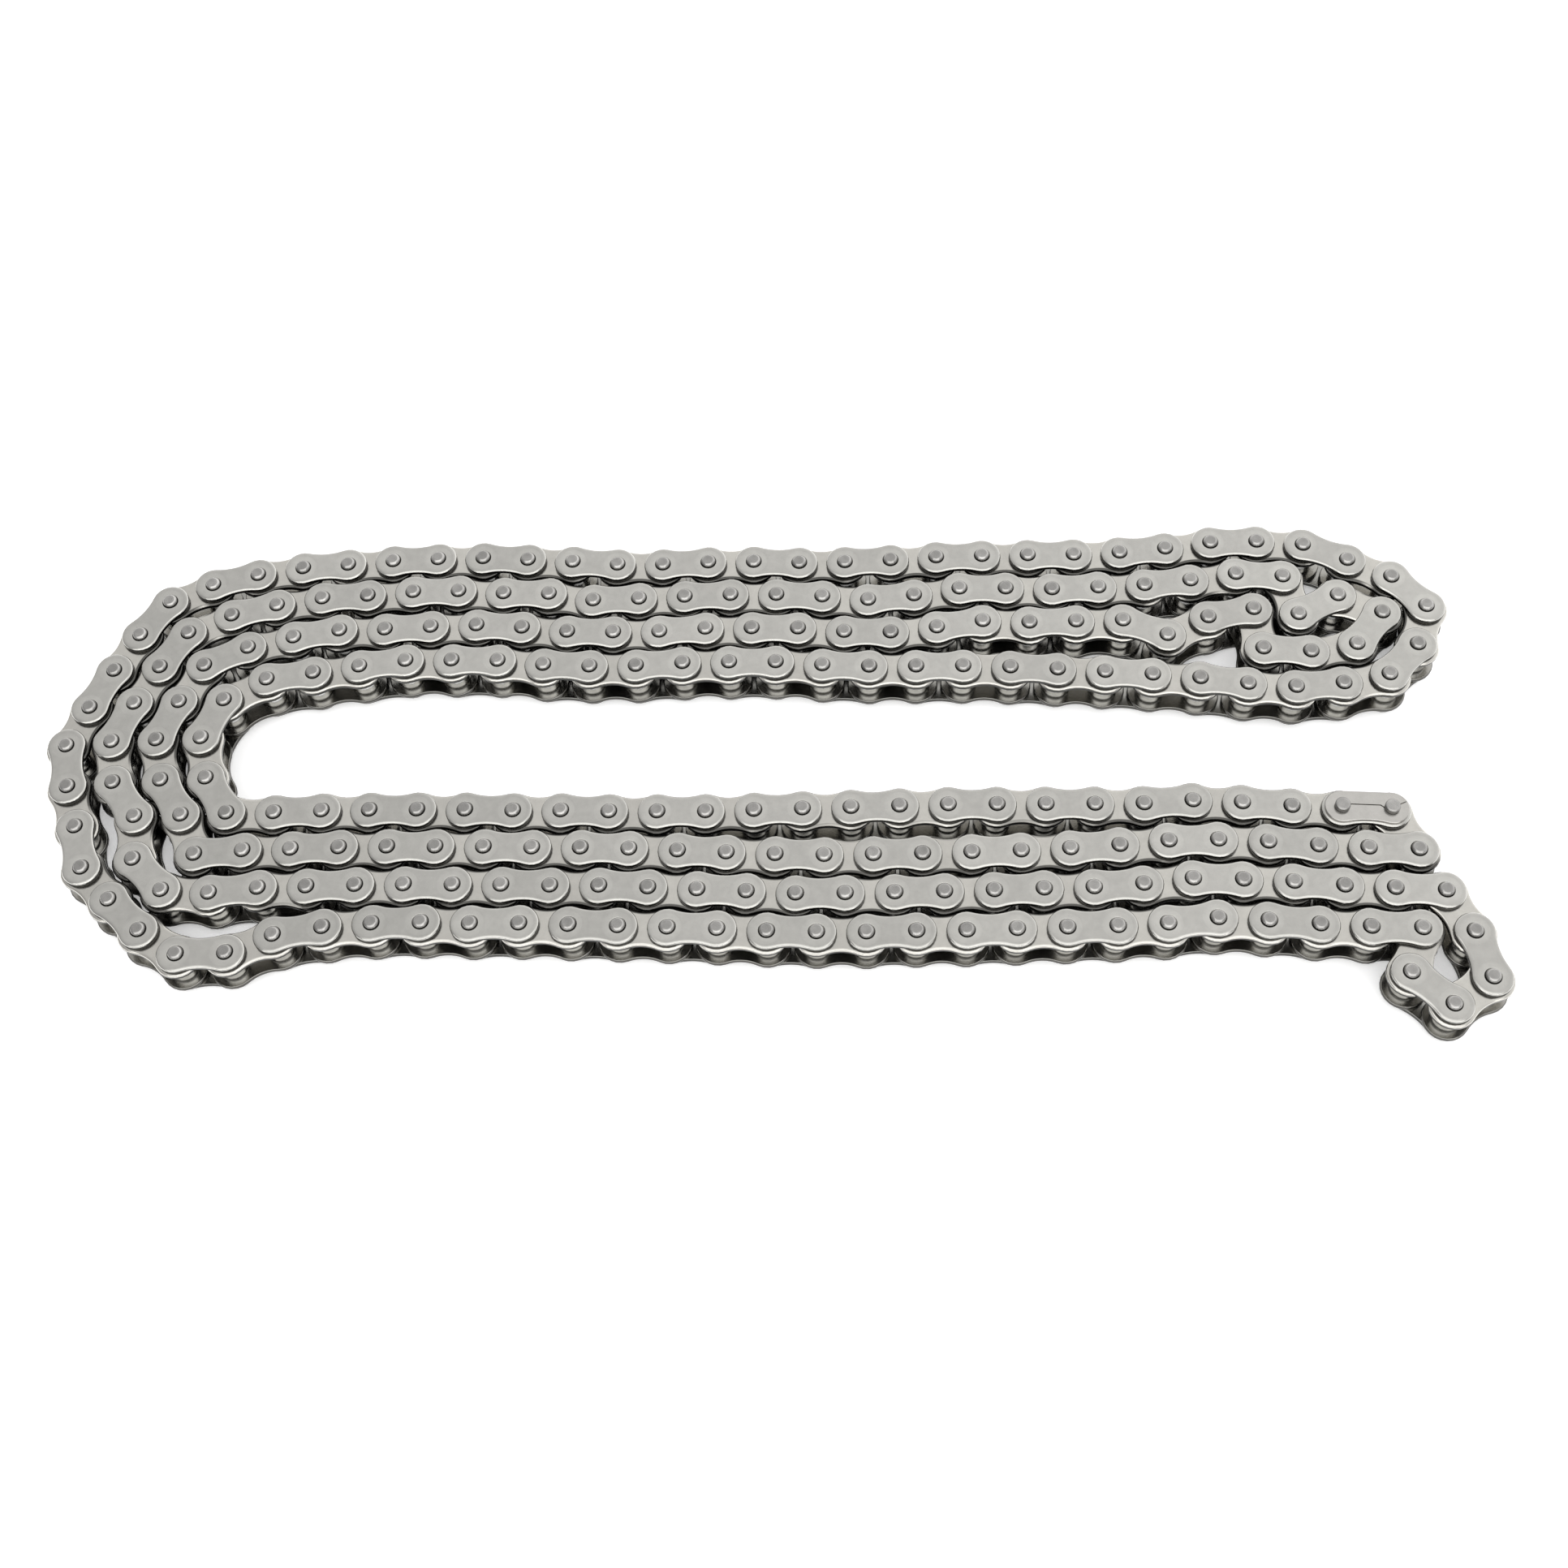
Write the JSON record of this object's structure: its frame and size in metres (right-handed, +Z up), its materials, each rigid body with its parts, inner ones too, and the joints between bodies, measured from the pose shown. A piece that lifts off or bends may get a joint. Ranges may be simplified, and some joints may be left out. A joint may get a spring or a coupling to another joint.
{
  "type": "drive chain",
  "caption": "Endless half-inch-pitch roller drive chain with a spring-clip connecting link, laid flat in nested rows with its pins upright.",
  "frame": {"origin": "centre of the laid chain's bounding box, on the surface that the pins stand on", "axes": "+X along the long rows towards the end with the connecting link, +Y from the looped tail's side towards the outermost row, +Z up, along the pins"},
  "size_m": [0.3828, 0.15, 0.0159],
  "materials": {
    "outer_plate": "satin nickel plate",
    "inner_plate": "satin nickel plate",
    "pin": "ground, peened at both ends",
    "bush": "ground",
    "roller": "polished",
    "spring_clip": "satin nickel plate"
  },
  "bodies": {
    "lay": {"lay_outer_plates_top": "outer_plate", "lay_outer_plates_bottom": "outer_plate", "lay_pins": "pin", "lay_inner_plates_top": "inner_plate", "lay_inner_plates_bottom": "inner_plate", "lay_bushes": "bush", "lay_rollers": "roller"},
    "neck_a1": {"neck_a1_plates": "inner_plate", "neck_a1_bushes": "bush"},
    "neck_a1_roller_1": {"neck_a1_roller_1": "roller"},
    "neck_a1_roller_2": {"neck_a1_roller_2": "roller"},
    "neck_a3": {"neck_a3_plates": "inner_plate", "neck_a3_bushes": "bush"},
    "neck_a3_roller_1": {"neck_a3_roller_1": "roller"},
    "neck_a3_roller_2": {"neck_a3_roller_2": "roller"},
    "neck_a2": {"neck_a2_plates": "outer_plate", "neck_a2_pins": "pin"},
    "neck_b1": {"neck_b1_plates": "inner_plate", "neck_b1_bushes": "bush", "neck_b1_rollers": "roller"},
    "neck_b3": {"neck_b3_plates": "inner_plate", "neck_b3_bushes": "bush", "neck_b3_rollers": "roller"},
    "neck_b2": {"neck_b2_plates": "outer_plate", "neck_b2_pins": "pin"},
    "tail_a1": {"tail_a1_plates": "inner_plate", "tail_a1_bushes": "bush", "tail_a1_rollers": "roller"},
    "tail_a3": {"tail_a3_plates": "inner_plate", "tail_a3_bushes": "bush", "tail_a3_rollers": "roller"},
    "tail_a2": {"tail_a2_plates": "outer_plate", "tail_a2_pins": "pin"},
    "tail_b1": {"tail_b1_plates": "inner_plate", "tail_b1_bushes": "bush", "tail_b1_rollers": "roller"},
    "tail_b3": {"tail_b3_plates": "inner_plate", "tail_b3_bushes": "bush", "tail_b3_rollers": "roller"},
    "tail_b2": {"tail_b2_plates": "outer_plate", "tail_b2_pins": "pin"},
    "neck_end": {"neck_end_outer_plates": "outer_plate", "neck_end_outer_pins": "pin", "neck_end_inner_plates": "inner_plate", "neck_end_inner_bushes": "bush", "connecting_base_plate": "outer_plate", "connecting_pins": "pin", "connecting_cover_plate": "outer_plate", "spring_clip": "spring_clip"},
    "neck_end_roller_1": {"neck_end_inner_roller_1": "roller"},
    "neck_end_roller_2": {"neck_end_inner_roller_2": "roller"},
    "tail_end": {"tail_end_outer_plates": "outer_plate", "tail_end_outer_pins": "pin", "tail_end_inner_plates": "inner_plate", "tail_end_inner_bushes": "bush", "tail_end_inner_rollers": "roller"}
  },
  "joints": [
    {"name": "neck_a1_pivot", "type": "hinge", "parent": "lay", "child": "neck_a1", "pos_m": [0.11506, -0.01214, 0.00732], "axis": [0, 0, 1], "range_deg": [0, 26]},
    {"name": "neck_a2_pivot", "type": "hinge", "parent": "neck_a1", "child": "neck_a2", "pos_m": [0.12774, -0.01276, 0.00732], "axis": [0, 0, 1], "range_deg": [0, 26]},
    {"name": "neck_a3_pivot", "type": "hinge", "parent": "neck_a2", "child": "neck_a3", "pos_m": [0.1404, -0.01384, 0.00732], "axis": [0, 0, 1], "range_deg": [-26, 0]},
    {"name": "neck_end_pivot", "type": "hinge", "parent": "neck_a3", "child": "neck_end", "pos_m": [0.15308, -0.01448, 0.00732], "axis": [0, 0, 1], "range_deg": [-26, 0]},
    {"name": "neck_b1_pivot", "type": "hinge", "parent": "lay", "child": "neck_b1", "pos_m": [0.12079, -0.02355, 0.00732], "axis": [0, 0, 1], "range_deg": [0, 26]},
    {"name": "neck_b2_pivot", "type": "hinge", "parent": "neck_b1", "child": "neck_b2", "pos_m": [0.13347, -0.02417, 0.00732], "axis": [0, 0, 1], "range_deg": [0, 26]},
    {"name": "neck_b3_pivot", "type": "hinge", "parent": "neck_b2", "child": "neck_b3", "pos_m": [0.14613, -0.02525, 0.00732], "axis": [0, 0, 1], "range_deg": [-26, 0]},
    {"name": "tail_a1_pivot", "type": "hinge", "parent": "lay", "child": "tail_a1", "pos_m": [0.12624, -0.03494, 0.00732], "axis": [0, 0, 1], "range_deg": [-28, 0]},
    {"name": "tail_a2_pivot", "type": "hinge", "parent": "tail_a1", "child": "tail_a2", "pos_m": [0.13892, -0.03558, 0.00732], "axis": [0, 0, 1], "range_deg": [-28, 0]},
    {"name": "tail_a3_pivot", "type": "hinge", "parent": "tail_a2", "child": "tail_a3", "pos_m": [0.15158, -0.03665, 0.00732], "axis": [0, 0, 1], "range_deg": [0, 28]},
    {"name": "tail_end_pivot", "type": "hinge", "parent": "tail_a3", "child": "tail_end", "pos_m": [0.16426, -0.03731, 0.00732], "axis": [0, 0, 1], "range_deg": [0, 28]},
    {"name": "tail_b1_pivot", "type": "hinge", "parent": "lay", "child": "tail_b1", "pos_m": [0.11905, -0.0457, 0.00732], "axis": [0, 0, 1], "range_deg": [-28, 0]},
    {"name": "tail_b2_pivot", "type": "hinge", "parent": "tail_b1", "child": "tail_b2", "pos_m": [0.13173, -0.04634, 0.00732], "axis": [0, 0, 1], "range_deg": [-28, 0]},
    {"name": "tail_b3_pivot", "type": "hinge", "parent": "tail_b2", "child": "tail_b3", "pos_m": [0.14438, -0.04741, 0.00732], "axis": [0, 0, 1], "range_deg": [0, 28]},
    {"name": "neck_a1_roller_1_spin", "type": "hinge", "parent": "neck_a1", "child": "neck_a1_roller_1", "pos_m": [0.12774, -0.01276, 0.00732], "axis": [0, 0, 1], "continuous": true},
    {"name": "neck_a1_roller_2_spin", "type": "hinge", "parent": "neck_a1", "child": "neck_a1_roller_2", "pos_m": [0.11506, -0.01214, 0.00732], "axis": [0, 0, 1], "continuous": true},
    {"name": "neck_a3_roller_1_spin", "type": "hinge", "parent": "neck_a3", "child": "neck_a3_roller_1", "pos_m": [0.15308, -0.01448, 0.00732], "axis": [0, 0, 1], "continuous": true},
    {"name": "neck_a3_roller_2_spin", "type": "hinge", "parent": "neck_a3", "child": "neck_a3_roller_2", "pos_m": [0.1404, -0.01384, 0.00732], "axis": [0, 0, 1], "continuous": true},
    {"name": "neck_end_roller_1_spin", "type": "hinge", "parent": "neck_end", "child": "neck_end_roller_1", "pos_m": [0.1715, -0.02638, 0.00732], "axis": [0, 0, 1], "continuous": true},
    {"name": "neck_end_roller_2_spin", "type": "hinge", "parent": "neck_end", "child": "neck_end_roller_2", "pos_m": [0.16577, -0.01505, 0.00732], "axis": [0, 0, 1], "continuous": true}
  ],
  "couplings": [
    {"joint": "neck_a2_pivot", "follows": "neck_a1_pivot", "ratio": 1},
    {"joint": "neck_a3_pivot", "follows": "neck_a1_pivot", "ratio": -1},
    {"joint": "neck_end_pivot", "follows": "neck_a1_pivot", "ratio": -1},
    {"joint": "neck_b1_pivot", "follows": "neck_a1_pivot", "ratio": 1},
    {"joint": "neck_b2_pivot", "follows": "neck_a1_pivot", "ratio": 1},
    {"joint": "neck_b3_pivot", "follows": "neck_a1_pivot", "ratio": -1},
    {"joint": "tail_a2_pivot", "follows": "tail_a1_pivot", "ratio": 1},
    {"joint": "tail_a3_pivot", "follows": "tail_a1_pivot", "ratio": -1},
    {"joint": "tail_end_pivot", "follows": "tail_a1_pivot", "ratio": -1},
    {"joint": "tail_b1_pivot", "follows": "tail_a1_pivot", "ratio": 1},
    {"joint": "tail_b2_pivot", "follows": "tail_a1_pivot", "ratio": 1},
    {"joint": "tail_b3_pivot", "follows": "tail_a1_pivot", "ratio": -1}
  ]
}
